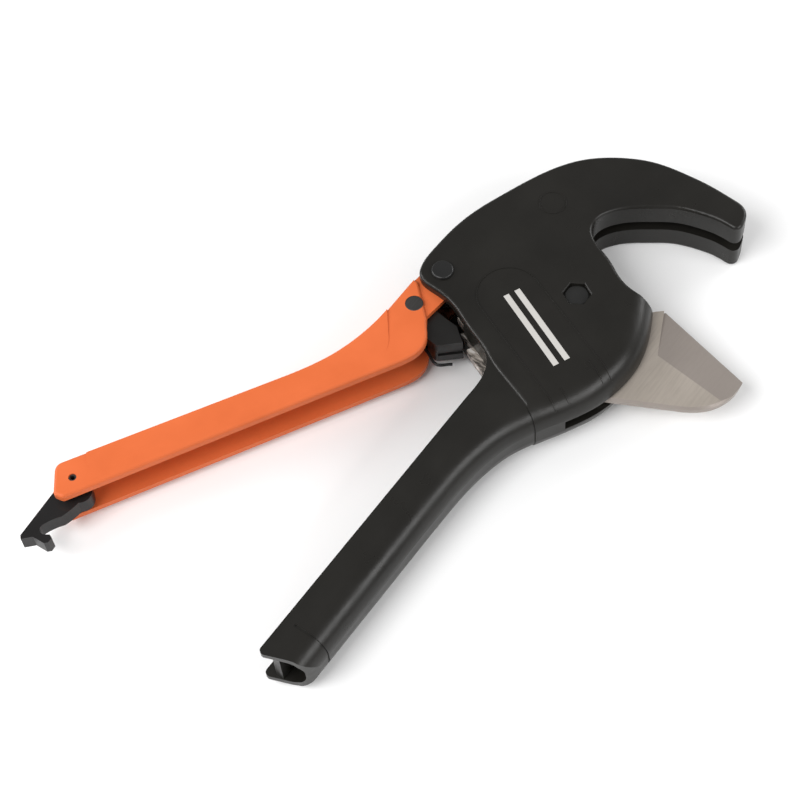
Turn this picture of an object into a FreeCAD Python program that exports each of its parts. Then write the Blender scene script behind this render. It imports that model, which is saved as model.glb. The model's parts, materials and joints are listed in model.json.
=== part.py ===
import FreeCAD, Part
import math
import os

# Ratchet cutter for plastic pipe up to 63 mm, lying on its side with the lever wide open.
# Plan view: the blade pivot is the design origin, +X runs along the fixed handle towards the jaw,
# +Y is the lever side, and Z is the thickness. Everything is symmetrical about MID_Z.
# save() moves the finished pieces to the part frame: bottom centre of the bounding box.

FRAME_X = -78.468              # bounding-box centre of the open tool, in the design frame
FRAME_Y = 29.6095

# thickness stack
HEAD_T = 31.0
MID_Z = HEAD_T / 2
HANDLE_T = 26.0
LEVER_T = 24.0
SLOT_T = 6.2                   # blade slot in the casting
BLADE_T = 4.4
BLADE_CHAMFER = 1.1            # along the blade's back and nose
CHEEK_GAP = 21.2               # wider gap between the cheeks where the lever's ears sit
EAR_T = 20.6                   # over the outside of the ears
CHANNEL_T = 15.4               # inside the lever's channel
PAWL_T = 14.0
LATCH_T = 8.5

# pivots
BLADE_PIVOT = (0.0, 0.0)
LEVER_PIVOT = (-25.1, 60.7)
PAWL_PIVOT = (-46.2, 62.5)
LATCH_PIVOT = (-212.2, 136.0)
HOLD_PIVOT = (5.6, 63.2)

# blade and ratchet
TOOTH_R = 57.4
ROOT_R = 53.8
TOOTH_PITCH = 9.6              # degrees
LAST_TOOTH = 148.2             # angle of the last drive face
TOOTH_COUNT = 9
SECTOR_END = 162.5
SLOT_R = 64.6
HEEL = (23.0, -36.2)
TIP = (9.5, -86.8)
EDGE_T = 0.3                   # width of the cutting edge
BLADE_CLOSED = 85.0            # degrees of swing from the drawn pose to fully closed

# radii of the turning fits
BUSH_R = 6.5
BOLT_R = 4.0
LEVER_PIN_R = 4.0
PAWL_PIN_R = 4.4
LATCH_PIN_R = 1.9
HOLD_PIN_R = 1.8
RUN = 0.05                     # radial clearance of a running fit
SET = 0.02                     # radial clearance of a fixed fit

# seats of the pivot hardware
BOLT_FLATS = 11.3
BOLT_SEAT_Z = 25.8
NUT_FLATS = 13.0
NUT_SEAT_Z = 8.0
WASHER_R = 11.0
WASHER_SEAT_Z = 19.4
RING_Z = (1.0, 2.0)            # faces of the ring that holds the lever pin
RING_GROOVE_R = 3.3

# edge rounding
HEAD_FILLET = 1.7
HEAD_NOSE_R = 12.0
HANDLE_NOSE_R = 11.0
HANDLE_WALL = 3.0
HANDLE_RISE = 0.009            # the handle thickens towards the head, per mm on each face

COIL_STEPS = 8                 # points per turn on a spring's centre line


# ---------------------------------------------------------------- helpers
def vec(p, z=0.0):
    return FreeCAD.Vector(p[0], p[1], z)


def polar(r, deg, centre=(0.0, 0.0)):
    a = math.radians(deg)
    return (centre[0] + r * math.cos(a), centre[1] + r * math.sin(a))


def turned(p, deg, centre=(0.0, 0.0)):
    c = math.cos(math.radians(deg))
    s = math.sin(math.radians(deg))
    x = p[0] - centre[0]
    y = p[1] - centre[1]
    return (centre[0] + c * x - s * y, centre[1] + s * x + c * y)


def line(a, b):
    return Part.makeLine(vec(a), vec(b))


def lines(points):
    return [line(a, b) for a, b in zip(points, points[1:])]


def arc(a, middle, b):
    return Part.Arc(vec(a), vec(middle), vec(b)).toShape()


def spline(points):
    curve = Part.BSplineCurve()
    curve.interpolate([vec(p) for p in points])
    return curve.toShape()


def prism(edges, z0, z1):
    face = Part.Face(Part.Wire(edges))
    face.translate(FreeCAD.Vector(0, 0, z0))
    return face.extrude(FreeCAD.Vector(0, 0, z1 - z0))


def poly_prism(points, z0, z1):
    return prism(lines(points + points[:1]), z0, z1)


def mid_slab(edges, thickness):
    return prism(edges, MID_Z - thickness / 2, MID_Z + thickness / 2)


def cylinder(centre, r, z0, z1):
    return Part.makeCylinder(r, z1 - z0, vec(centre, z0))


def tube(centre, inner, outer, z0, z1):
    return cylinder(centre, outer, z0, z1).cut(cylinder(centre, inner, z0 - 1, z1 + 1))


def box(x0, x1, y0, y1, z0, z1):
    return Part.makeBox(x1 - x0, y1 - y0, z1 - z0, FreeCAD.Vector(x0, y0, z0))


def hexagon(centre, across_flats, z0, z1):
    corner = across_flats / math.sqrt(3)
    return poly_prism([polar(corner, 60 * i, centre) for i in range(6)], z0, z1)


def fuse(shapes):
    result = shapes[0]
    for shape in shapes[1:]:
        result = result.fuse(shape)
    return result.removeSplitter()


def edges_at(shape, spots):
    found = []
    for edge in shape.Edges:
        if any(edge.distToShape(Part.Vertex(spot))[0] < 0.02 for spot in spots):
            found.append(edge)
    return found


def rim_fillet(shape, r, plan_points, z0, z1):
    """Round the top and bottom edges that pass through the given plan points."""
    spots = [vec(p, z) for p in plan_points for z in (z0, z1)]
    return shape.makeFillet(r, edges_at(shape, spots))


def corner_fillet(shape, r, plan_points):
    """Round the upright edges at the given plan points."""
    return shape.makeFillet(r, edges_at(shape, [vec(p, MID_Z) for p in plan_points]))


def coil_points(centre, r, turns, pitch, z0, start_deg):
    """Points along a helix about +Z, counter-clockwise going up."""
    points = []
    for i in range(turns * COIL_STEPS + 1):
        share = i / COIL_STEPS
        points.append(vec(polar(r, start_deg + 360.0 * share, centre), z0 + pitch * share))
    return points


def wire_sweep(points, wire_r):
    """Round wire whose centre line runs smoothly through the points."""
    curve = Part.BSplineCurve()
    curve.interpolate(points)
    start = curve.value(curve.FirstParameter)
    heading = curve.tangent(curve.FirstParameter)[0]
    section = Part.Wire(Part.makeCircle(wire_r, start, heading))
    return Part.Wire(curve.toShape()).makePipeShell([section], True, False)


def save(name, shape):
    moved = shape.copy()
    moved.translate(FreeCAD.Vector(-FRAME_X, -FRAME_Y, 0))
    solids = moved.Solids
    print(name, "solids", len(solids), "valid", moved.isValid(), "volume", round(moved.Volume, 1))
    moved.exportStep("parts/" + name + ".step")
    return shape


# ---------------------------------------------------------------- main body casting
HEAD_OUTLINE = [
    # step down to the handle, then the lever side of the head
    (-69.6, -23.4), (-66.3, -17.0), (-62.2, -7.0), (-57.7, 4.4), (-54.2, 12.4), (-50.9, 18.0),
    (-48.4, 23.2), (-44.2, 33.0), (-39.6, 42.2), (-36.8, 50.0), (-35.7, 58.0), (-35.0, 64.5), (-32.6, 69.0),
    # back of the hook
    (-28.3, 71.3), (-15.5, 72.4), (-1.0, 71.6), (11.1, 69.5), (31.7, 62.6), (51.9, 54.2),
    (69.3, 42.7), (81.4, 27.0), (87.8, 12.2), (90.3, -6.0), (90.6, -20.0),
    # tip of the jaw
    (89.6, -33.0), (88.6, -38.3), (85.6, -42.0), (80.5, -43.9), (76.6, -44.2), (74.6, -42.5),
    (74.3, -39.5),
    # inside of the jaw, up to the throat
    (74.5, -33.0), (73.3, -24.8), (69.6, -12.6), (63.6, -2.6), (57.0, 6.6), (50.2, 12.9),
    (43.5, 15.9), (37.0, 15.3), (31.6, 10.5),
    # mouth side of the body
    (25.2, -2.6), (20.6, -10.0), (17.8, -16.5), (16.6, -24.0), (16.4, -32.8),
]
BODY_RIM = [
    (16.4, -32.8), (5.0, -38.2), (-7.6, -42.0), (-16.2, -43.0), (-26.0, -42.4), (-40.9, -38.9),
    (-56.0, -31.5), (-69.6, -23.4),
]
HANDLE_BACK = [
    (-219.0, -11.4), (-160.0, -11.4), (-125.0, -11.5), (-103.0, -12.6), (-92.0, -14.4),
    (-80.6, -17.6), (-71.7, -21.8), (-66.0, -24.5), (-57.0, -27.6), (-46.0, -30.5),
]
HANDLE_FRONT = [
    # lever side of the handle, swelling where it runs into the head
    (-76.0, 10.5), (-69.5, 10.3), (-63.7, 10.8), (-58.0, 12.4), (-54.2, 14.7), (-51.3, 17.9),
    (-49.2, 21.2), (-46.6, 25.6),
]
HEAD_TOP_SPOT = (31.7, 62.6)
RIM_SPOT = (-26.0, -42.4)

HANDLE_END_X = -232.2
CATCH_Y = (2.4, 6.4)           # bar at the end of the handle that the latch hooks behind
CATCH_X = (-229.3, -219.5)
RIB_X = (-100.0, -130.0, -160.0, -190.0)


def nose_slab(curve, closing, z0, z1, r, spot):
    """Slab bounded by one long curve, with that side rounded to a big radius."""
    edges = [spline(curve)] + lines([curve[-1]] + closing + [curve[0]])
    return rim_fillet(prism(edges, z0, z1), r, [spot], z0, z1)


def head_blank():
    blank = prism([spline(HEAD_OUTLINE), spline(BODY_RIM)], 0, HEAD_T)
    blank = rim_fillet(blank, HEAD_FILLET, [HEAD_TOP_SPOT], 0, HEAD_T)
    curve = [(60.0, -8.0), (36.0, -22.0)] + BODY_RIM + [(-80.0, -17.0), (-100.0, -5.0)]
    slab = nose_slab(curve, [(-110.0, 110.0), (120.0, 110.0)], 0, HEAD_T, HEAD_NOSE_R, RIM_SPOT)
    jaw_side = box(40.0, 130.0, -80.0, 110.0, 0, HEAD_T)
    return blank.common(slab.fuse(jaw_side)).removeSplitter()


def sheared(shape, slope):
    """Tilt the shape's flat faces: lift by slope for every millimetre along X from the handle's end."""
    matrix = FreeCAD.Matrix()
    matrix.A31 = slope
    matrix.A34 = -slope * HANDLE_END_X
    return shape.transformGeometry(matrix)


def handle_blank(inset=0.0):
    """Fixed handle; inset makes the slightly smaller core of the grip groove."""
    z0 = MID_Z - HANDLE_T / 2 + inset
    z1 = MID_Z + HANDLE_T / 2 - inset
    front = 11.45
    back = [(x, y + inset) for x, y in HANDLE_BACK]
    outline = [
        spline(HANDLE_FRONT),
        line(HANDLE_FRONT[0], (-229.6, front)),
        arc((-229.6, front), (-231.7, 10.6), (HANDLE_END_X, 8.6)),
        line((HANDLE_END_X, 8.6), (-227.4, -4.2)),
        arc((-227.4, -4.2), (-224.4, -9.4), (-219.0, back[0][1])),
        spline(back),
        line(back[-1], HANDLE_FRONT[-1]),
    ]
    blank = prism(outline, z0, z1)
    curve = [(-262.0, back[0][1])] + back + [(-30.0, -34.0), (-10.0, -38.0)]
    slab = nose_slab(curve, [(0.0, 60.0), (-262.0, 60.0)], z0, z1, HANDLE_NOSE_R - inset, back[1])
    blank = blank.common(slab)
    upper = sheared(blank, HANDLE_RISE).common(box(-300.0, 20.0, -60.0, 60.0, MID_Z, HEAD_T))
    lower = sheared(blank, -HANDLE_RISE).common(box(-300.0, 20.0, -60.0, 60.0, 0.0, MID_Z))
    return upper.fuse(lower).removeSplitter()


def blade_slot():
    """Everything the blade sweeps between the cheeks and inside the jaw."""
    heel = turned(HEEL, BLADE_CLOSED)
    tip = turned(TIP, BLADE_CLOSED)
    slope = (tip[1] - heel[1]) / (tip[0] - heel[0])
    clear = 1.1
    corner = (tip[0] + 0.6, tip[1] + clear)
    left = (28.0, heel[1] + clear + slope * (28.0 - heel[0]))
    jaw = [spline([corner, (88.5, -8.0), (88.6, -20.0), (87.4, -33.0), (85.4, -50.0)])]
    jaw += lines([(85.4, -50.0), (8.0, -62.0), (8.0, left[1]), left, corner])
    pocket = [(-17.0, 57.0), (-14.5, 63.5), (-2.0, 67.9), (8.6, 67.9), (11.0, 60.0), (0.0, 50.0)]
    z0 = MID_Z - SLOT_T / 2
    z1 = MID_Z + SLOT_T / 2
    return fuse([cylinder(BLADE_PIVOT, SLOT_R, z0, z1), prism(jaw, z0, z1), poly_prism(pocket, z0, z1)])


def ear_gap():
    z0 = MID_Z - CHEEK_GAP / 2
    z1 = MID_Z + CHEEK_GAP / 2
    plan = [(-70.0, 90.0), (-70.0, 34.0), (-46.0, 34.0), (-37.5, 39.6), (-28.5, 45.0), (-19.5, 50.5),
            (-17.5, 56.0), (-25.1, 62.0), (-25.1, 90.0)]
    return poly_prism(plan, z0, z1).fuse(cylinder(LEVER_PIVOT, 10.2, z0, z1))


def handle_hollow():
    """Channel along the lever side of the handle, open at the end, with the catch bar left in."""
    z0 = MID_Z - HANDLE_T / 2 + HANDLE_WALL
    z1 = MID_Z + HANDLE_T / 2 - HANDLE_WALL
    back_y = HANDLE_BACK[0][1] + HANDLE_WALL + 0.2
    hollow = box(-250.0, -74.0, back_y, 30.0, z0, z1)
    inner_r = HANDLE_NOSE_R - HANDLE_WALL
    hollow = rim_fillet(hollow, inner_r, [(-150.0, back_y)], z0, z1)
    hollow = hollow.cut(box(CATCH_X[0], CATCH_X[1], CATCH_Y[0], CATCH_Y[1], z0, z1))
    for x in RIB_X:
        hollow = hollow.cut(box(x - 1.2, x + 1.2, back_y, 4.5, z0, z1))
    return hollow


def grip_groove():
    """Shallow ring cut round the back of the handle near its end."""
    ring = box(-213.9, -212.7, -40.0, 5.6, -1.0, HEAD_T + 1.0)
    return ring.cut(handle_blank(inset=0.5))


def bolt_recess():
    """Hexagonal recess for the bolt head, its mouth broken by a small chamfer."""
    flats = BOLT_FLATS + 0.4
    chamfer = 0.5
    rims = []
    for grow in (-chamfer, 0.1):
        corner = (flats + 2 * (chamfer + grow)) / math.sqrt(3)
        points = [vec(polar(corner, 60 * i), HEAD_T + grow) for i in range(6)]
        rims.append(Part.makePolygon(points + points[:1]))
    mouth = Part.makeLoft(rims, True, True)
    return hexagon(BLADE_PIVOT, flats, BOLT_SEAT_Z, HEAD_T + 1).fuse(mouth)


def main_body():
    body = head_blank().fuse(handle_blank())
    cuts = [
        blade_slot(),
        ear_gap(),
        handle_hollow(),
        grip_groove(),
        # blade pivot: bolt recess, bolt hole, spring washer pocket, nut recess
        bolt_recess(),
        cylinder(BLADE_PIVOT, BOLT_R + SET, -1, HEAD_T),
        cylinder(BLADE_PIVOT, WASHER_R + 0.6, MID_Z, WASHER_SEAT_Z),
        hexagon(BLADE_PIVOT, NUT_FLATS + 0.4, -1, NUT_SEAT_Z),
        # lever pin: hole and the counterbore of its retaining ring
        cylinder(LEVER_PIVOT, LEVER_PIN_R + SET, -1, HEAD_T + 1),
        cylinder(LEVER_PIVOT, 6.3, -1, RING_Z[1] + 0.2),
        # holding pawl: blind pin hole from below, spring hole in the roof of the pocket
        cylinder(HOLD_PIVOT, HOLD_PIN_R + SET, -1, 24.0),
        hold_spring_hole(),
    ]
    for cut in cuts:
        body = body.cut(cut)
    return body


# ---------------------------------------------------------------- holding pawl
HOLD_SPRING_DEG = 96.5
HOLD_SPRING_FOOT = 62.9
HOLD_SPRING_TOP = 67.1


def radial_cylinder(r, start, end, deg):
    base = polar(start, deg)
    top = polar(end, deg)
    axis = FreeCAD.Vector(top[0] - base[0], top[1] - base[1], 0)
    return Part.makeCylinder(r, end - start, vec(base, MID_Z), axis)


def hold_spring_hole():
    return radial_cylinder(2.3, HOLD_SPRING_FOOT - 1.5, HOLD_SPRING_TOP + 0.1, HOLD_SPRING_DEG)


def hold_pawl():
    clear_r = TOOTH_R + 0.55
    boss_r = 3.9
    nose = polar(clear_r, 103.5)
    foot = polar(clear_r, 88.0)
    plan = [
        arc(nose, polar(clear_r, 96.0), foot),
        line(foot, (HOLD_PIVOT[0], HOLD_PIVOT[1] - boss_r)),
        arc((HOLD_PIVOT[0], HOLD_PIVOT[1] - boss_r), (HOLD_PIVOT[0] + boss_r, HOLD_PIVOT[1]),
            (HOLD_PIVOT[0] - 0.9, HOLD_PIVOT[1] + 3.795)),
        line((HOLD_PIVOT[0] - 0.9, HOLD_PIVOT[1] + 3.795), (-6.5, 62.0)),
        line((-6.5, 62.0), (-14.0, 58.4)),
        line((-14.0, 58.4), nose),
    ]
    body = mid_slab(plan, BLADE_T)
    return body.cut(cylinder(HOLD_PIVOT, HOLD_PIN_R + RUN, 0, HEAD_T))


def hold_spring():
    wire_r = 0.3
    turns = 4
    height = HOLD_SPRING_TOP - HOLD_SPRING_FOOT - 2 * wire_r
    shape = wire_sweep(coil_points((0, 0), 1.75, turns, height / turns, 0, 0), wire_r)
    shape.rotate(FreeCAD.Vector(0, 0, 0), FreeCAD.Vector(0, 1, 0), 90)
    shape.rotate(FreeCAD.Vector(0, 0, 0), FreeCAD.Vector(0, 0, 1), HOLD_SPRING_DEG)
    shape.translate(vec(polar(HOLD_SPRING_FOOT + wire_r, HOLD_SPRING_DEG), MID_Z))
    return shape


# ---------------------------------------------------------------- blade
def ratchet_edges():
    """Teeth from the hidden end of the sector to its smooth land, in order of angle."""
    first = LAST_TOOTH - TOOTH_PITCH * (TOOTH_COUNT - 1)
    points = [polar(TOOTH_R - 1.1, first - 6.7)]
    for i in range(TOOTH_COUNT):
        deg = first + i * TOOTH_PITCH
        points.append(polar(ROOT_R, deg))
        points.append(polar(TOOTH_R, deg))
    middle = (LAST_TOOTH + SECTOR_END) / 2
    land = arc(points[-1], polar(TOOTH_R, middle), polar(TOOTH_R, SECTOR_END))
    return points[0], lines(points) + [land]


def bevel(side):
    """Material ground away from one face; side is +1 for the top and -1 for the bottom."""
    stations = []
    for y, edge_x, start_x in ((-30.0, 24.65, 1.2), (-92.0, 8.12, -6.9)):
        tilt = (BLADE_T / 2 - EDGE_T / 2) / (edge_x - start_x)
        outer = edge_x + 6.0
        outer_z = BLADE_T / 2 - tilt * (outer - start_x)
        corners = [(start_x, BLADE_T / 2), (outer, outer_z), (outer, 6.0), (start_x, 6.0)]
        points = [FreeCAD.Vector(x, y, MID_Z + side * z) for x, z in corners]
        stations.append(Part.makePolygon(points + points[:1]))
    # the grinding stops short of the heel
    heel_block = poly_prism([(30.0, -32.0), (30.0, -20.0), (-12.0, -20.0), (-12.0, -51.7)], 0, HEAD_T)
    return Part.makeLoft(stations, True, True).cut(heel_block)


def blade():
    start, teeth = ratchet_edges()
    sector_end = polar(TOOTH_R, SECTOR_END)
    back = (-37.0, -35.0)
    shoulder = (-20.2, -70.2)
    plan = teeth
    plan += lines([sector_end, (-49.0, 9.0), (-46.0, -8.0), back, shoulder])
    plan.append(spline([shoulder, (-16.5, -76.6), (-12.0, -81.6), (-7.4, -84.6), (-2.0, -86.6),
                        (3.6, -87.2), TIP]))
    plan += lines([TIP, HEEL, (19.6, -32.2), (14.0, -27.0), (13.0, -8.0), (15.5, 8.0), (20.0, 25.0),
                   start])
    body = mid_slab(plan, BLADE_T)
    faces = (MID_Z - BLADE_T / 2, MID_Z + BLADE_T / 2)
    back_middle = ((back[0] + shoulder[0]) / 2, (back[1] + shoulder[1]) / 2)
    dulled = edges_at(body, [vec(p, z) for p in (back_middle, (-12.0, -81.6)) for z in faces])
    body = body.makeChamfer(BLADE_CHAMFER, dulled)
    body = body.cut(cylinder(BLADE_PIVOT, BUSH_R + RUN, 0, HEAD_T))
    return body.cut(bevel(1)).cut(bevel(-1))


# ---------------------------------------------------------------- pivot hardware
def pivot_bolt():
    """Hexagon bolt, its head sunk in the upper cheek and its corners turned off."""
    chamfer_z = 28.2
    top_z = 29.1
    turned_r = 7.1
    head = hexagon(BLADE_PIVOT, BOLT_FLATS, BOLT_SEAT_Z + 0.02, top_z)
    turning = cylinder(BLADE_PIVOT, turned_r, BOLT_SEAT_Z - 1, chamfer_z)
    turning = turning.fuse(Part.makeCone(turned_r, 5.4, top_z - chamfer_z, vec(BLADE_PIVOT, chamfer_z)))
    shank = cylinder(BLADE_PIVOT, BOLT_R, 1.8, BOLT_SEAT_Z + 0.7)
    return fuse([head.common(turning), shank])


def pivot_nut():
    low_z = 1.2
    top_z = NUT_SEAT_Z - 0.1
    turned_r = 7.6
    turning = Part.makeCone(turned_r - 1.0, turned_r, 1.0, vec(BLADE_PIVOT, low_z))
    turning = turning.fuse(cylinder(BLADE_PIVOT, turned_r, low_z + 1.0, top_z))
    nut = hexagon(BLADE_PIVOT, NUT_FLATS, low_z, top_z).common(turning)
    return nut.cut(cylinder(BLADE_PIVOT, BOLT_R + SET, 0, 9))


def spring_washer():
    """Dished friction washer between the blade and the floor of its pocket."""
    inner = BUSH_R + 0.15
    outer = WASHER_R
    low = MID_Z + BLADE_T / 2 + 0.02
    t = 0.6
    rise = 0.95
    profile = [(inner, low + rise), (outer, low), (outer, low + t), (inner, low + rise + t)]
    points = [FreeCAD.Vector(r, 0, z) for r, z in profile]
    face = Part.Face(Part.makePolygon(points + points[:1]))
    return face.revolve(FreeCAD.Vector(0, 0, 0), FreeCAD.Vector(0, 0, 1), 360)


def lever_pin():
    """Headed pin from above, with a groove for the retaining ring near its lower end."""
    shank = cylinder(LEVER_PIVOT, LEVER_PIN_R, 0.4, HEAD_T + 0.2)
    shank = shank.cut(tube(LEVER_PIVOT, RING_GROOVE_R, 5.0, RING_Z[0] - 0.05, RING_Z[1] + 0.05))
    head_r = 5.4
    head_top = HEAD_T + 1.5
    head = cylinder(LEVER_PIVOT, head_r, HEAD_T + 0.01, head_top)
    head = head.makeFillet(1.0, edges_at(head, [vec((LEVER_PIVOT[0] + head_r, LEVER_PIVOT[1]), head_top)]))
    return fuse([shank, head])


def lever_pin_ring():
    x, y = LEVER_PIVOT
    half_gap = 1.3
    ring = tube(LEVER_PIVOT, RING_GROOVE_R + 0.05, 5.9, RING_Z[0], RING_Z[1])
    return ring.cut(box(x - half_gap, x + half_gap, y, y + 8.0, 0, 3))


# ---------------------------------------------------------------- lever
UPPER_BEND = [
    (-53.5, 71.2), (-60.0, 71.4), (-70.0, 72.2), (-80.0, 74.1), (-90.0, 77.0), (-100.0, 81.2),
    (-112.0, 87.6),
]
LEVER_END_TOP = (-211.6, 147.5)
LEVER_END_TIP = (-223.7, 137.8)
LEVER_END_LOW = (-222.7, 133.0)
LOWER_START = (-80.0, 50.5)
HEEL_BEND = [
    (-80.0, 50.5), (-74.0, 47.2), (-68.5, 45.1), (-64.0, 44.7), (-60.0, 45.6), (-57.4, 46.9),
    (-55.2, 48.5), (-49.8, 52.4),
]
EAR_R = 9.5


def lever_plate():
    """Thick part of the lever, before the channel is cut."""
    z0 = MID_Z - LEVER_T / 2
    z1 = MID_Z + LEVER_T / 2
    plan = [spline(UPPER_BEND)]
    plan += lines([UPPER_BEND[-1], LEVER_END_TOP, LEVER_END_TIP, LEVER_END_LOW, LOWER_START])
    plan.append(spline(HEEL_BEND))
    plan += lines([HEEL_BEND[-1], (-34.8, 68.4), (-34.8, 71.2), UPPER_BEND[0]])
    plate = prism(plan, z0, z1)
    plate = corner_fillet(plate, 5.0, [LEVER_END_TOP])
    plate = corner_fillet(plate, 2.2, [LEVER_END_TIP, LEVER_END_LOW])
    top = [e for e in plate.Edges if is_flat_edge(e, z0) or is_flat_edge(e, z1)]
    return plate.makeFillet(1.5, top)


def is_flat_edge(edge, z):
    return abs(edge.BoundBox.ZMin - z) < 1e-4 and abs(edge.BoundBox.ZMax - z) < 1e-4


def ears():
    z0 = MID_Z - EAR_T / 2
    z1 = MID_Z + EAR_T / 2
    x, y = LEVER_PIVOT
    plan = [
        line((x, y - EAR_R), (-52.0, 54.0)),
        line((-52.0, 54.0), (-52.0, 70.9)),
        line((-52.0, 70.9), (-35.0, 70.9)),
        line((-35.0, 70.9), (x - 2.0, y + 9.287)),
        arc((x - 2.0, y + 9.287), (x + EAR_R, y), (x, y - EAR_R)),
    ]
    return prism(plan, z0, z1)


def grip_pads():
    """Raised grip on both sides of the lever, thinning towards its open edge."""
    rise = 0.8
    plan = [spline([(-56.6, 70.9), (-70.0, 71.9), (-80.0, 73.8), (-90.0, 76.7), (-100.0, 80.9),
                    (-112.0, 87.3)])]
    plan += lines([(-112.0, 87.3), (-198.6, 139.2), (-202.2, 136.6), (-204.6, 131.3), (-202.0, 125.4),
                   (-86.0, 58.0)])
    plan.append(spline([(-86.0, 58.0), (-80.7, 57.7), (-76.8, 57.5), (-72.6, 58.7), (-67.0, 62.6)]))
    plan.append(line((-67.0, 62.6), (-56.6, 70.9)))
    pads = mid_slab(plan, LEVER_T + 2 * rise)
    # wedge: flush along the lower edge, full height along the back of the lever
    turn = math.radians(30.2)
    along = (-math.cos(turn), math.sin(turn))
    across = (math.sin(turn), math.cos(turn))
    half = LEVER_T / 2
    far_half = half + 1.45 * rise
    near_half = half - 0.25
    section = [(0.0, near_half), (40.0, far_half), (40.0, -far_half), (0.0, -near_half)]
    start = (LOWER_START[0] - 60 * along[0], LOWER_START[1] - 60 * along[1])
    points = [vec((start[0] + s * across[0], start[1] + s * across[1]), MID_Z + z) for s, z in section]
    face = Part.Face(Part.makePolygon(points + points[:1]))
    wedge = face.extrude(FreeCAD.Vector(240 * along[0], 240 * along[1], 0))
    return pads.common(wedge)


def lever_channel():
    wall = 4.0
    z0 = MID_Z - CHANNEL_T / 2
    z1 = MID_Z + CHANNEL_T / 2
    upper = [(x + 0.25, y - wall) for x, y in UPPER_BEND[1:]]
    rise = (LEVER_END_TOP[1] - UPPER_BEND[-1][1]) / (LEVER_END_TOP[0] - UPPER_BEND[-1][0])
    far = (-236.0, upper[-1][1] - 0.7 + rise * (-236.0 - upper[-1][0]))
    plan = [spline(upper)]
    # the last four points leave room for the root of the pawl and its spring when the lever is squeezed
    plan += lines([upper[-1], far, (-240.0, 118.0), (-110.0, 40.0), (-20.0, 30.0), (-8.0, 62.0),
                   (-8.0, 80.0), (-36.0, 80.0), (-36.0, 67.3), (-49.5, 67.3), (-50.5, 68.4),
                   (-56.5, 68.4), upper[0]])
    return prism(plan, z0, z1).fuse(cylinder(PAWL_PIVOT, 6.9, z0, z1))


def lever():
    body = lever_plate().fuse(ears()).fuse(grip_pads())
    body = body.cut(lever_channel())
    body = body.cut(cylinder(LEVER_PIVOT, LEVER_PIN_R + RUN, 0, HEAD_T))
    body = body.cut(cylinder(PAWL_PIVOT, PAWL_PIN_R + SET, 0, HEAD_T))
    body = body.cut(cylinder(LATCH_PIVOT, LATCH_PIN_R + SET, 0, HEAD_T))
    return body.removeSplitter()


def lever_sleeve():
    half = CHANNEL_T / 2 - 0.1
    return tube(LEVER_PIVOT, LEVER_PIN_R + RUN, 5.1, MID_Z - half, MID_Z + half)


def lever_spring():
    wire_r = 0.8
    r = 6.2
    pitch = 2.2
    turns = 3
    foot_z = 9.0
    top_z = foot_z + turns * pitch
    x, y = LEVER_PIVOT
    cheek_leg = [vec((x + 6.4, y + r - 1.4), foot_z), vec((x + 3.4, y + r - 0.1), foot_z)]
    web_leg = [vec((x - 3.5, y + r - 0.2), top_z), vec((x - 8.5, y + r - 0.4), top_z),
               vec((x - 13.0, y + r - 0.5), top_z)]
    coil = coil_points(LEVER_PIVOT, r, turns, pitch, foot_z, 90)
    return wire_sweep(cheek_leg + coil + web_leg, wire_r)


# ---------------------------------------------------------------- drive pawl
PAWL_BOSS_R = 6.4
PAWL_CLEAR_R = 58.6
PAWL_GROOVE = (12.9, 17.3)     # heights of the groove in the end of the pawl
PAWL_SLOT = (12.2, 15.4)       # heights of the slot for the pawl's spring


def drive_pawl():
    x, y = PAWL_PIVOT
    nose = polar(PAWL_CLEAR_R, 146.6)
    inner = polar(PAWL_CLEAR_R, 137.2)
    plan = [
        arc((x - PAWL_BOSS_R, y), (x, y + PAWL_BOSS_R), (x + PAWL_BOSS_R, y)),
        line((x + PAWL_BOSS_R, y), (-42.4, 46.0)),
        line((-42.4, 46.0), inner),
        arc(inner, polar(PAWL_CLEAR_R, 141.9), nose),
        line(nose, (-56.6, 40.8)),
        arc((-56.6, 40.8), (-57.3, 42.0), (-57.3, 43.4)),
        line((-57.3, 43.4), (-56.2, 49.0)),
        line((-56.2, 49.0), (-54.6, 56.5)),
        line((-54.6, 56.5), (x - PAWL_BOSS_R, y)),
    ]
    body = mid_slab(plan, PAWL_T)
    body = body.cut(cylinder(PAWL_PIVOT, PAWL_PIN_R + RUN, 0, HEAD_T))
    # slot for the spring: round the boss and down the left side
    body = body.cut(cylinder(PAWL_PIVOT, PAWL_BOSS_R + 0.3, PAWL_SLOT[0], PAWL_SLOT[1]))
    side = [(-49.5, 64.0), (-49.5, 60.5), (-52.6, 54.5), (-54.6, 48.0), (-66.0, 48.0), (-66.0, 64.0)]
    body = body.cut(poly_prism(side, PAWL_SLOT[0], PAWL_SLOT[1]))
    # groove across the end face
    end = [(-58.6, 40.4), (-49.2, 30.4), (-48.0, 32.6), (-56.4, 41.8)]
    return body.cut(poly_prism(end, PAWL_GROOVE[0], PAWL_GROOVE[1]))


def pawl_pin():
    pin = cylinder(PAWL_PIVOT, PAWL_PIN_R, 3.4, 27.6)
    rims = [vec((PAWL_PIVOT[0] + PAWL_PIN_R, PAWL_PIVOT[1]), z) for z in (3.4, 27.6)]
    return pin.makeChamfer(0.3, edges_at(pin, rims))


def pawl_spring():
    """Open loop round the pawl pin, with a long leg bent back to the end of the pawl."""
    wire_r = 0.75
    loop_r = 5.6
    z = 13.75
    loop = [polar(loop_r, deg, PAWL_PIVOT) for deg in range(-90, 181, 45)]
    leg = [(-54.8, 57.0), (-56.9, 50.5), (-59.6, 44.2), (-61.3, 41.2), (-61.7, 38.7), (-60.3, 36.2),
           (-57.4, 32.6)]
    return wire_sweep([vec(p, z) for p in loop + leg], wire_r)


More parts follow.
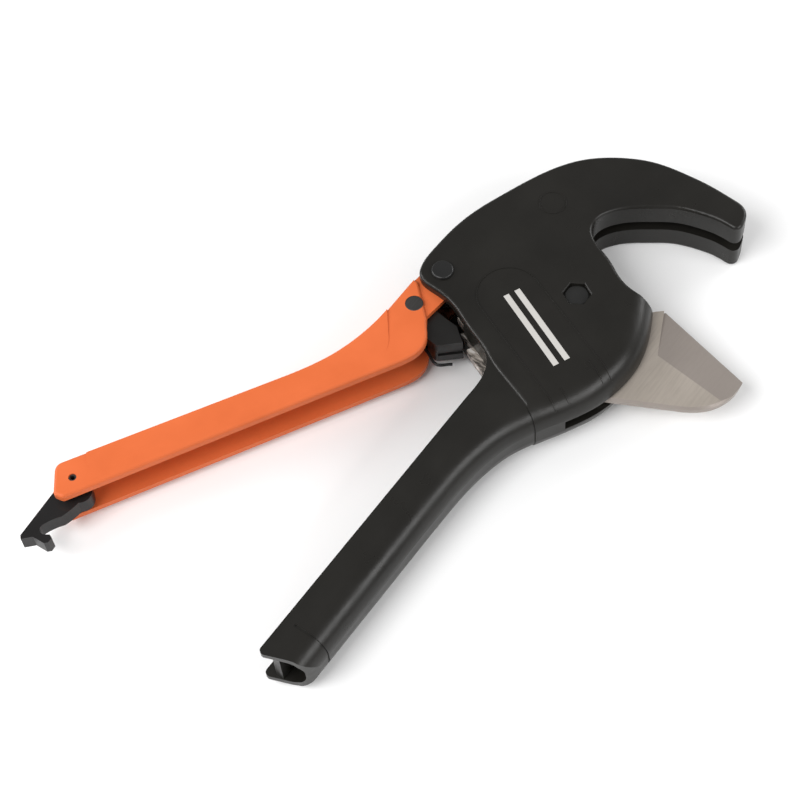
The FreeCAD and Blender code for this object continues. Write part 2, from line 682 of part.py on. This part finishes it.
# ---------------------------------------------------------------- latch
def latch():
    x, y = LATCH_PIVOT
    plan = [
        line((x + 1.2, y + 5.6), (-221.0, 142.1)),
        line((-221.0, 142.1), (-246.2, 139.9)),
        line((-246.2, 139.9), (-247.6, 138.5)),
        line((-247.6, 138.5), (-243.6, 134.6)),
        line((-243.6, 134.6), (-243.2, 128.2)),
        line((-243.2, 128.2), (-241.7, 126.8)),
        line((-241.7, 126.8), (-239.0, 127.1)),
        line((-239.0, 127.1), (-238.3, 128.9)),
        line((-238.3, 128.9), (-239.7, 131.0)),
        arc((-239.7, 131.0), (-239.3, 134.2), (-236.8, 135.1)),
        arc((-236.8, 135.1), (-232.2, 133.2), (-228.2, 130.6)),
        arc((-228.2, 130.6), (-223.3, 129.4), (-218.4, 128.8)),
        arc((-218.4, 128.8), (-213.4, 126.4), (-208.6, 129.4)),
        arc((-208.6, 129.4), (-206.5, 134.6), (x + 1.2, y + 5.6)),
    ]
    body = mid_slab(plan, LATCH_T)
    return body.cut(cylinder(LATCH_PIVOT, LATCH_PIN_R + RUN, 0, HEAD_T))


def latch_pin():
    """Rolled spring pin with its lengthwise slit."""
    x, y = LATCH_PIVOT
    half_slit = 0.3
    pin = tube(LATCH_PIVOT, 1.15, LATCH_PIN_R, 4.1, 26.9)
    return pin.cut(box(x - half_slit, x + half_slit, y, y + 3.0, 0, HEAD_T))


def latch_spring():
    wire_r = 0.4
    r = 2.8
    pitch = 1.2
    turns = 2
    foot_z = MID_Z + LATCH_T / 2 + 0.5
    top_z = foot_z + turns * pitch
    x, y = LATCH_PIVOT
    web_leg = [vec((x + 6.5, y + r + 0.2), foot_z), vec((x + 3.0, y + r + 0.1), foot_z)]
    latch_leg = [vec((x - 3.0, y + r), top_z), vec((x - 8.0, y + r), top_z)]
    coil = coil_points(LATCH_PIVOT, r, turns, pitch, foot_z, 90)
    return wire_sweep(web_leg + coil + latch_leg, wire_r)


# ---------------------------------------------------------------- build
def main():
    os.makedirs("parts", exist_ok=True)
    slot_floor = MID_Z - SLOT_T / 2
    blade_floor = MID_Z - BLADE_T / 2
    pieces = {
        "main_body": main_body(),
        "blade": blade(),
        "pivot_bolt": pivot_bolt(),
        "pivot_nut": pivot_nut(),
        "pivot_bush": tube(BLADE_PIVOT, BOLT_R + SET, BUSH_R, slot_floor + 0.05, WASHER_SEAT_Z - 0.05),
        "blade_shim": tube(BLADE_PIVOT, BUSH_R + 0.1, WASHER_R, slot_floor + 0.02, blade_floor - 0.02),
        "friction_washer": spring_washer(),
        "hold_pawl": hold_pawl(),
        "hold_pawl_pin": cylinder(HOLD_PIVOT, HOLD_PIN_R, 0.5, 23.6),
        "hold_pawl_spring": hold_spring(),
        "lever": lever(),
        "lever_pin": lever_pin(),
        "lever_pin_ring": lever_pin_ring(),
        "lever_sleeve": lever_sleeve(),
        "lever_spring": lever_spring(),
        "drive_pawl": drive_pawl(),
        "pawl_pin": pawl_pin(),
        "pawl_spring": pawl_spring(),
        "latch": latch(),
        "latch_pin": latch_pin(),
        "latch_spring": latch_spring(),
    }
    for name, shape in pieces.items():
        save(name, shape)
    whole = Part.makeCompound(list(pieces.values())).optimalBoundingBox(False, False)
    print("box x", round(whole.XMin, 3), round(whole.XMax, 3), "centre", round(whole.Center.x, 3))
    print("box y", round(whole.YMin, 3), round(whole.YMax, 3), "centre", round(whole.Center.y, 3))
    print("box z", round(whole.ZMin, 3), round(whole.ZMax, 3))


main()
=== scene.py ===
import bpy
import json
import math
from mathutils import Matrix, Vector


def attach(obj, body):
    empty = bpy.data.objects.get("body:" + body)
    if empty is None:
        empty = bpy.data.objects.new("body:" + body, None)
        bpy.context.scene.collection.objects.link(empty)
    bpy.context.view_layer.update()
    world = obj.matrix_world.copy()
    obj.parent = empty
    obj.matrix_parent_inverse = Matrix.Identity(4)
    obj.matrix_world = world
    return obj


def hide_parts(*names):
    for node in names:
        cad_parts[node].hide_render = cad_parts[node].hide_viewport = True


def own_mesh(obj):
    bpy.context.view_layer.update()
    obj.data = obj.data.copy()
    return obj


# Ratchet pipe cutter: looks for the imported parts. Metres, part frame:
# +X along the fixed handle towards the jaw, +Y towards the opened lever, +Z up through the thickness.

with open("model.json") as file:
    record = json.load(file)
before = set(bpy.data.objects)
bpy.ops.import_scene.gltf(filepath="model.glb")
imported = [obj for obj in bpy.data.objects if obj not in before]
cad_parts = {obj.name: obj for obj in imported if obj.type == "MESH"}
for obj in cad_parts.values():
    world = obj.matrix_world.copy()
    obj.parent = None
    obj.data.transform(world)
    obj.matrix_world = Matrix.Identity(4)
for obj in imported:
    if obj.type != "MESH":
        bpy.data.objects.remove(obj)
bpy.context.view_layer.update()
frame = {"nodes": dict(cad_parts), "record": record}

MM = 0.001
# the blade pivot in the part frame and the tool's mid-plane above the floor, in millimetres
PIVOT_X = 78.468
PIVOT_Y = -29.6095
MID_Z = 15.5


def at(x, y, z=0.0):
    """A point given in millimetres from the blade pivot, with z from the floor."""
    return Vector(((x + PIVOT_X) * MM, (y + PIVOT_Y) * MM, z * MM))


def direction(heading_deg):
    """Unit direction in plan, turned from +X."""
    a = math.radians(heading_deg)
    return math.cos(a), math.sin(a)


def link_object(name, data):
    piece = bpy.data.objects.new(name, data)
    bpy.context.scene.collection.objects.link(piece)
    return piece


# ---------------------------------------------------------------- materials
# Centres are in millimetres from the blade pivot. Each other pair is where a blend starts and where it
# ends: heights and plan distances in metres, and the tilt as the size of the surface direction's Z part.
# painted shade: a dark patch on the lever's lower ear, in the gap beside the pawl and the ratchet
PAINTED_SHADE_CENTRE = (-27.0, 58.0)
PAINTED_SHADE_REACH = (0.017, 0.021)
PAINTED_SHADE_BOTTOM = (0.0053, 0.0056)
PAINTED_SHADE_TOP = (0.0095, 0.0105)
PAINTED_SHADE_TONE = (0.020, 0.012, 0.009)

# sector of the blade that carries painted shade and painted highlights on its teeth, and scoring bumps
RATCHET_CENTRE = (-50.0, 27.0)
RATCHET_REACH = (0.016, 0.020)
STREAK_TURN = -62

# painted shade: tilted bevel faces get a darker colour between these tilts
BEVEL_SHADE_TILT = (0.9985, 0.9995)
BLADE_GRAIN_TURN = 75
GRAIN_SCALE = 900.0
GRAIN_STRETCH = (0.06, 1.0, 1.0)


class Graph:
    """Small helper around a material's node tree."""

    def __init__(self, name):
        self.mat = bpy.data.materials.new(name)
        self.mat.use_nodes = True
        self.nodes = self.mat.node_tree.nodes
        self.links = self.mat.node_tree.links
        self.nodes.clear()
        output = self.nodes.new("ShaderNodeOutputMaterial")
        self.shader = self.nodes.new("ShaderNodeBsdfPrincipled")
        self.links.new(self.shader.outputs["BSDF"], output.inputs["Surface"])
        self.place = self.nodes.new("ShaderNodeTexCoord").outputs["Object"]

    def set(self, name, value):
        self.shader.inputs[name].default_value = value

    def feed(self, name, socket):
        self.links.new(socket, self.shader.inputs[name])

    def stretched(self, scale, turn_deg=0.0):
        mapping = self.nodes.new("ShaderNodeMapping")
        mapping.inputs["Scale"].default_value = scale
        mapping.inputs["Rotation"].default_value = (0, 0, math.radians(turn_deg))
        self.links.new(self.place, mapping.inputs["Vector"])
        return mapping.outputs["Vector"]

    def noise(self, scale, detail=3.0, rough=0.5, where=None):
        node = self.nodes.new("ShaderNodeTexNoise")
        node.inputs["Scale"].default_value = scale
        node.inputs["Detail"].default_value = detail
        node.inputs["Roughness"].default_value = rough
        self.links.new(where or self.place, node.inputs["Vector"])
        return node.outputs["Fac"]

    def reach(self, x, y):
        """Distance in plan, in metres, from a point given in millimetres from the blade pivot."""
        spot = at(x, y)
        flat = self.nodes.new("ShaderNodeVectorMath")
        flat.operation = "MULTIPLY"
        flat.inputs[1].default_value = (1.0, 1.0, 0.0)
        self.links.new(self.place, flat.inputs[0])
        node = self.nodes.new("ShaderNodeVectorMath")
        node.operation = "DISTANCE"
        self.links.new(flat.outputs["Vector"], node.inputs[0])
        node.inputs[1].default_value = (spot.x, spot.y, 0.0)
        return node.outputs["Value"]

    def remap(self, socket, low, high, to_low=0.0, to_high=1.0):
        node = self.nodes.new("ShaderNodeMapRange")
        node.inputs["From Min"].default_value = low
        node.inputs["From Max"].default_value = high
        node.inputs["To Min"].default_value = to_low
        node.inputs["To Max"].default_value = to_high
        self.links.new(socket, node.inputs["Value"])
        return node.outputs["Result"]

    def mix(self, fac, a, b):
        """Colour mix; a and b are each a colour or a socket."""
        node = self.nodes.new("ShaderNodeMix")
        node.data_type = "RGBA"
        self.links.new(fac, node.inputs["Factor"])
        # the colour sockets of a Mix node: inputs 6 and 7, output 2
        for value, index in ((a, 6), (b, 7)):
            if isinstance(value, tuple):
                node.inputs[index].default_value = value + (1.0,)
            else:
                self.links.new(value, node.inputs[index])
        return node.outputs[2]

    def math(self, kind, a, b):
        """One sum; a and b are each a number or a socket."""
        node = self.nodes.new("ShaderNodeMath")
        node.operation = kind
        for value, index in ((a, 0), (b, 1)):
            if isinstance(value, (int, float)):
                node.inputs[index].default_value = value
            else:
                self.links.new(value, node.inputs[index])
        return node.outputs[0]

    def split(self, socket):
        node = self.nodes.new("ShaderNodeSeparateXYZ")
        self.links.new(socket, node.inputs["Vector"])
        return node.outputs

    def flatness(self):
        """Size of the Z part of the surface direction: 1 on level faces."""
        facing = self.nodes.new("ShaderNodeNewGeometry").outputs["True Normal"]
        return self.math("ABSOLUTE", self.split(facing)["Z"], 0.0)

    def painted_gap_shade(self):
        """Painted shade between the lower ear and the ratchet, strongest near the lever's pivot."""
        height = self.split(self.place)["Z"]
        low = self.remap(height, *PAINTED_SHADE_TOP, 1.0, 0.0)
        inside = self.remap(height, *PAINTED_SHADE_BOTTOM)
        near = self.remap(self.reach(*PAINTED_SHADE_CENTRE), *PAINTED_SHADE_REACH, 0.96, 0.0)
        patchy = self.remap(self.noise(120, 4, 0.6), 0.2, 0.5, 0.85, 1.0)
        level = self.math("MULTIPLY", low, inside)
        return self.math("MULTIPLY", level, self.math("MULTIPLY", near, patchy))

    def ground(self, turn_deg, dark, light, groove, rough):
        """Ground steel: returns the tone and the grinding lines, and feeds the roughness."""
        lines = self.noise(GRAIN_SCALE, 4, 0.65, self.stretched(GRAIN_STRETCH, turn_deg))
        stains = self.noise(34, 4, 0.6)
        tone = self.mix(self.remap(stains, 0.3, 0.72), dark, light)
        tone = self.mix(self.remap(lines, 0.40, 0.72, 0.0, 0.35), tone, groove)
        line_rough = self.remap(lines, 0.3, 0.7, rough - 0.04, rough + 0.06)
        stain_rough = self.remap(stains, 0.3, 0.7, 0.0, 0.05)
        self.feed("Roughness", self.math("ADD", line_rough, stain_rough))
        return tone, lines

    def bump(self, layers):
        """layers: (height socket, distance in metres, strength)."""
        last = None
        for height, distance, strength in layers:
            node = self.nodes.new("ShaderNodeBump")
            node.inputs["Distance"].default_value = distance
            node.inputs["Strength"].default_value = strength
            self.links.new(height, node.inputs["Height"])
            if last:
                self.links.new(last, node.inputs["Normal"])
            last = node.outputs["Normal"]
        self.feed("Normal", last)


def coated(name, dark, light, worn, rough, grain, depth, wear, spec, gap_shaded=False):
    """Paint or oxide coat: mottled colour, fine grain and worn specks, with painted shade in the lever's
    ear gap if gap_shaded.
    """
    g = Graph(name)
    mottling = g.remap(g.noise(28, 4, 0.55), 0.3, 0.7)
    specks = g.remap(g.noise(420, 6, 0.7), 0.70, 0.78)
    worn_areas = g.remap(g.noise(16, 3, 0.5), 0.52, 0.66, 0.0, wear)
    tone = g.mix(mottling, dark, light)
    tone = g.mix(g.math("MULTIPLY", specks, worn_areas), tone, worn)
    # painted shade on the lever's lower ear, in the gap beside the pawl
    if gap_shaded:
        tone = g.mix(g.painted_gap_shade(), tone, PAINTED_SHADE_TONE)
    g.feed("Base Color", tone)
    g.feed("Roughness", g.remap(g.noise(60, 4, 0.6), 0.3, 0.7, rough - 0.05, rough + 0.06))
    g.set("Specular IOR Level", spec)
    g.set("Metallic", 0.0)
    ripple = g.noise(90, 2, 0.5)
    g.bump([(g.noise(grain, 3, 0.6), depth, 0.6), (ripple, 0.00006, 0.35)])
    return g.mat


def steel(name, dark, light, rough, turn_deg, metallic=1.0):
    """Ground or turned steel with a directional grain and faint stains."""
    g = Graph(name)
    groove = tuple(c * 0.62 for c in dark)
    tone, lines = g.ground(turn_deg, dark, light, groove, rough)
    g.feed("Base Color", tone)
    g.set("Metallic", metallic)
    g.bump([(lines, 0.00002, 0.5)])
    return g.mat


def blade_material():
    """Satin steel: painted shade makes the bevels a little darker than the flats, and a scored ratchet
    sector carries painted shade and painted highlights on its teeth.
    """
    g = Graph("blade_satin")
    tone, lines = g.ground(BLADE_GRAIN_TURN, dark=(0.385, 0.340, 0.293), light=(0.453, 0.402, 0.352),
                           groove=(0.248, 0.220, 0.191), rough=0.36)
    # painted shade on the bevels, from the tilt of the surface
    bevel_shade = g.remap(g.flatness(), *BEVEL_SHADE_TILT, 0.75, 0.0)
    tone = g.mix(bevel_shade, tone, (0.27, 0.235, 0.215))
    sector = g.remap(g.reach(*RATCHET_CENTRE), *RATCHET_REACH, 1.0, 0.0)
    scoring_and_tooth_light = g.noise(420.0, 5, 0.7, g.stretched((1.0, 0.22, 1.0), STREAK_TURN))
    # painted shade and painted highlights: dark and bright streaks on the ratchet teeth; the same pattern
    # also gives the scoring bump
    painted_tooth_shade = g.math("MULTIPLY", sector, g.remap(scoring_and_tooth_light, 0.50, 0.40, 0.0, 0.9))
    painted_tooth_glint = g.math("MULTIPLY", sector, g.remap(scoring_and_tooth_light, 0.54, 0.62, 0.0, 0.8))
    tone = g.mix(painted_tooth_shade, tone, (0.05, 0.043, 0.038))
    tone = g.mix(painted_tooth_glint, tone, (0.80, 0.76, 0.72))
    g.feed("Base Color", tone)
    g.set("Metallic", 0.35)
    g.bump([(lines, 0.00002, 0.5), (g.math("MULTIPLY", sector, scoring_and_tooth_light), 0.0003, 0.6)])
    return g.mat


materials = {
    "body_paint": coated(
        "body_coat", dark=(0.0096, 0.0089, 0.0076), light=(0.0142, 0.0132, 0.0113),
        worn=(0.070, 0.066, 0.060), rough=0.31, grain=2600, depth=0.00004, wear=0.30, spec=0.31),
    "lever_paint": coated(
        "lever_coat", dark=(0.60, 0.125, 0.037), light=(0.67, 0.146, 0.046),
        worn=(0.53, 0.12, 0.045), rough=0.42, grain=3000, depth=0.00002, wear=0.35, spec=0.17, gap_shaded=True),
    "blade_steel": blade_material(),
    "black_steel": coated(
        "black_oxide", dark=(0.010, 0.010, 0.010), light=(0.018, 0.018, 0.017),
        worn=(0.10, 0.098, 0.094), rough=0.36, grain=3600, depth=0.00002, wear=0.5, spec=0.4),
    "pawl_steel": coated(
        "pawl_oxide", dark=(0.009, 0.0085, 0.008), light=(0.016, 0.015, 0.014),
        worn=(0.14, 0.13, 0.12), rough=0.32, grain=3000, depth=0.00003, wear=0.6, spec=0.35),
    "latch_steel": coated(
        "latch_coat", dark=(0.0065, 0.0060, 0.0060), light=(0.012, 0.0112, 0.0112),
        worn=(0.09, 0.088, 0.088), rough=0.38, grain=3200, depth=0.00003, wear=0.5, spec=0.28),
    "pin_steel": steel("pin_dark", (0.050, 0.048, 0.046), (0.080, 0.077, 0.074), 0.42, 20, metallic=0.7),
    "bush_steel": steel("bush_turned", (0.38, 0.37, 0.35), (0.50, 0.49, 0.47), 0.30, 0),
    "spring_steel": steel("spring_black", (0.014, 0.014, 0.015), (0.03, 0.03, 0.03), 0.36, 0, metallic=0.6),
}
print_paint = coated(
    "print_grey", dark=(0.46, 0.445, 0.42), light=(0.55, 0.535, 0.51),
    worn=(0.20, 0.19, 0.18), rough=0.55, grain=2400, depth=0.00002, wear=0.6, spec=0.3)

for part in frame["record"]["subparts"]:
    node = frame["nodes"][part["node"]]
    node.data.materials.clear()
    node.data.materials.append(materials[part["material_slot"]])


def soft_hold_spring():
    """Stands for the spring's node with a copy of its mesh carried by the body, and hides the node."""
    coil = frame["nodes"]["hold_pawl_spring"]
    piece = link_object("hold_spring_soft", coil.data.copy())
    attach(piece, "body")
    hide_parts("hold_pawl_spring")
    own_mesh(piece)


soft_hold_spring()


# ---------------------------------------------------------------- raised lines and print on the head
# Plan positions from the blade pivot, widths and heights are in millimetres, headings in degrees.
ABOVE_THE_TOOL = 60.0
# section of a raised line, as (part of its width, part of its height); the feet sink into the casting
RIDGE_SECTION = [(-0.5, -0.05), (-0.28, 1.0), (0.28, 1.0), (0.5, -0.05)]
RIDGE_STEP = 1.0

PANEL_HEADING = -113.3
PANEL_CENTRE = (-18.5, 26.5)
PANEL_R = 15.5
PANEL_RUN = 65.0
INNER_RUNS = (("panel_inner_a", (-28.5, -24.3), 14.0), ("panel_inner_b", (-48.5, -22.0), 9.0))

MARK_CENTRE = (38.5, 39.5)
MARK_R = 6.6

BAR_HEADING = -115.1
BAR_MIDDLE = (-26.8, 5.2)
BAR_OFFSETS = (("print_bar_a", -3.0), ("print_bar_b", 3.0))
# distances of a stripe's sections from its middle
BAR_STATIONS = (-23, -8, 8, 23)


def skin_height(x, y):
    """Height in millimetres of the casting's upper skin, seen from above."""
    start = at(x, y, ABOVE_THE_TOOL)
    hit, spot = frame["nodes"]["main_body"].ray_cast(start, Vector((0, 0, -1)))[:2]
    return spot.z / MM if hit else 0.0


def ridge(name, path, width, height, material, closed=False):
    """Low raised line laid on the head along a plan path."""
    count = len(path)
    verts = []
    for i, (x, y) in enumerate(path):
        before = path[i - 1] if closed or i > 0 else path[i]
        after = path[(i + 1) % count] if closed or i < count - 1 else path[i]
        along = Vector((after[0] - before[0], after[1] - before[1])).normalized()
        side = Vector((-along.y, along.x))
        for across, up in RIDGE_SECTION:
            offset = side * (across * width)
            level = skin_height(x + offset.x, y + offset.y)
            verts.append(at(x + offset.x, y + offset.y, level + up * height))
    n = len(RIDGE_SECTION)
    faces = []
    for i in range(count if closed else count - 1):
        a = i * n
        b = ((i + 1) % count) * n
        for k in range(n):
            m = (k + 1) % n
            faces.append((a + k, b + k, b + m, a + m))
    if not closed:
        last = (count - 1) * n
        faces.append(tuple(range(n)))
        faces.append(tuple(range(last + n - 1, last - 1, -1)))
    mesh = bpy.data.meshes.new(name)
    mesh.from_pydata(verts, [], faces)
    mesh.validate()
    mesh.materials.append(material)
    piece = link_object(name, mesh)
    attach(piece, "body")


def arc_points(centre, r, start_deg, end_deg, count):
    points = []
    for i in range(count + 1):
        x, y = direction(start_deg + (end_deg - start_deg) * i / count)
        points.append((centre[0] + r * x, centre[1] + r * y))
    return points


def run_points(start, length):
    """Evenly spaced points along a straight run of the panel's line."""
    x, y = direction(PANEL_HEADING)
    count = int(length / RIDGE_STEP)
    return [(start[0] + i * RIDGE_STEP * x, start[1] + i * RIDGE_STEP * y) for i in range(1, count + 1)]


def panel_lines():
    """Raised loop round the printed area, running off over the rounded rim, and a short inner pair."""
    paint = materials["body_paint"]
    arc = arc_points(PANEL_CENTRE, PANEL_R, PANEL_HEADING + 90, PANEL_HEADING + 270, count=28)
    right = run_points(arc[0], PANEL_RUN)
    left = run_points(arc[-1], PANEL_RUN)
    ridge("panel_outline", right[::-1] + arc + left, width=0.7, height=0.32, material=paint)
    for name, start, length in INNER_RUNS:
        ridge(name, run_points(start, length), width=0.6, height=0.28, material=paint)


def round_mark():
    """Plain raised ring near the hook."""
    # the last point would repeat the first
    ring = arc_points(MARK_CENTRE, MARK_R, 0, 360, count=48)[:-1]
    ridge("round_mark", ring, width=0.8, height=0.32, material=materials["body_paint"], closed=True)


def printed_bars():
    """Two plain printed stripes."""
    x, y = direction(BAR_HEADING)
    for name, offset in BAR_OFFSETS:
        middle = (BAR_MIDDLE[0] - offset * y, BAR_MIDDLE[1] + offset * x)
        path = [(middle[0] + t * x, middle[1] + t * y) for t in BAR_STATIONS]
        ridge(name, path, width=3.0, height=0.05, material=print_paint)


panel_lines()
round_mark()
printed_bars()


# ---------------------------------------------------------------- floor, light, camera
FLOOR_HALF = 6.0
FLOOR_DROP = 0.0002
WORLD_STRENGTH = 0.36
LAMP_AIM = (0.0, 0.0, 0.015)
# name, place, size, watts
LAMPS = (
    ("key", (-0.95, 0.25, 1.25), (0.9, 0.9), 17.0),
    ("side", (0.15, -1.15, 0.80), (1.1, 0.5), 9.3),
    ("rim", (-0.45, 0.95, 0.60), (0.9, 0.35), 7.0),
    ("mouth", (1.10, -0.30, 0.35), (0.6, 0.3), 3.5),
)
CAMERA_AIM = (-88.49, 40.89, MID_Z)
CAMERA_PLACE = (-454.91, -278.76, 796.27)
CAMERA_ROLL = -5.908
SENSOR_WIDTH = 36
FOCAL_LENGTH = 87.75


def floor_material():
    g = Graph("floor_sweep")
    tone = g.remap(g.noise(3, 3, 0.5), 0.3, 0.7)
    g.feed("Base Color", g.mix(tone, (0.91, 0.91, 0.91), (0.94, 0.94, 0.94)))
    g.feed("Roughness", g.remap(g.noise(40, 3, 0.5), 0.3, 0.7, 0.62, 0.72))
    g.bump([(g.noise(500, 3, 0.5), 0.00003, 0.2)])
    return g.mat


def add_floor():
    mesh = bpy.data.meshes.new("floor")
    s = FLOOR_HALF
    mesh.from_pydata([(-s, -s, 0), (s, -s, 0), (s, s, 0), (-s, s, 0)], [], [(0, 1, 2, 3)])
    mesh.materials.append(floor_material())
    floor = link_object("floor", mesh)
    floor.location.z = -FLOOR_DROP


def add_light(name, place, size, power):
    data = bpy.data.lights.new(name, "AREA")
    data.shape = "RECTANGLE"
    data.size = size[0]
    data.size_y = size[1]
    data.energy = power
    lamp = link_object(name, data)
    lamp.location = place
    lamp.rotation_euler = (Vector(LAMP_AIM) - Vector(place)).to_track_quat("-Z", "Y").to_euler()


def add_camera():
    """The viewer stands beyond the handle ends and looks down at 58 degrees, head tilted slightly."""
    aim = at(*CAMERA_AIM)
    place = at(*CAMERA_PLACE)
    forward = (aim - place).normalized()
    level = forward.cross(Vector((0, 0, 1))).normalized()
    upright = level.cross(forward)
    roll = math.radians(CAMERA_ROLL)
    right = level * math.cos(roll) + upright * math.sin(roll)
    up = upright * math.cos(roll) - level * math.sin(roll)
    data = bpy.data.cameras.new("camera")
    data.sensor_width = SENSOR_WIDTH
    data.lens = FOCAL_LENGTH
    camera = link_object("camera", data)
    turn = Matrix((right, up, -forward)).transposed().to_4x4()
    camera.matrix_world = Matrix.Translation(place) @ turn
    bpy.context.scene.camera = camera


def add_world():
    world = bpy.data.worlds.new("studio")
    world.use_nodes = True
    back = world.node_tree.nodes["Background"]
    back.inputs["Color"].default_value = (1.0, 1.0, 1.0, 1.0)
    back.inputs["Strength"].default_value = WORLD_STRENGTH
    bpy.context.scene.world = world


add_floor()
add_world()
for lamp_values in LAMPS:
    add_light(*lamp_values)
add_camera()

bpy.context.scene.view_settings.view_transform = "Standard"
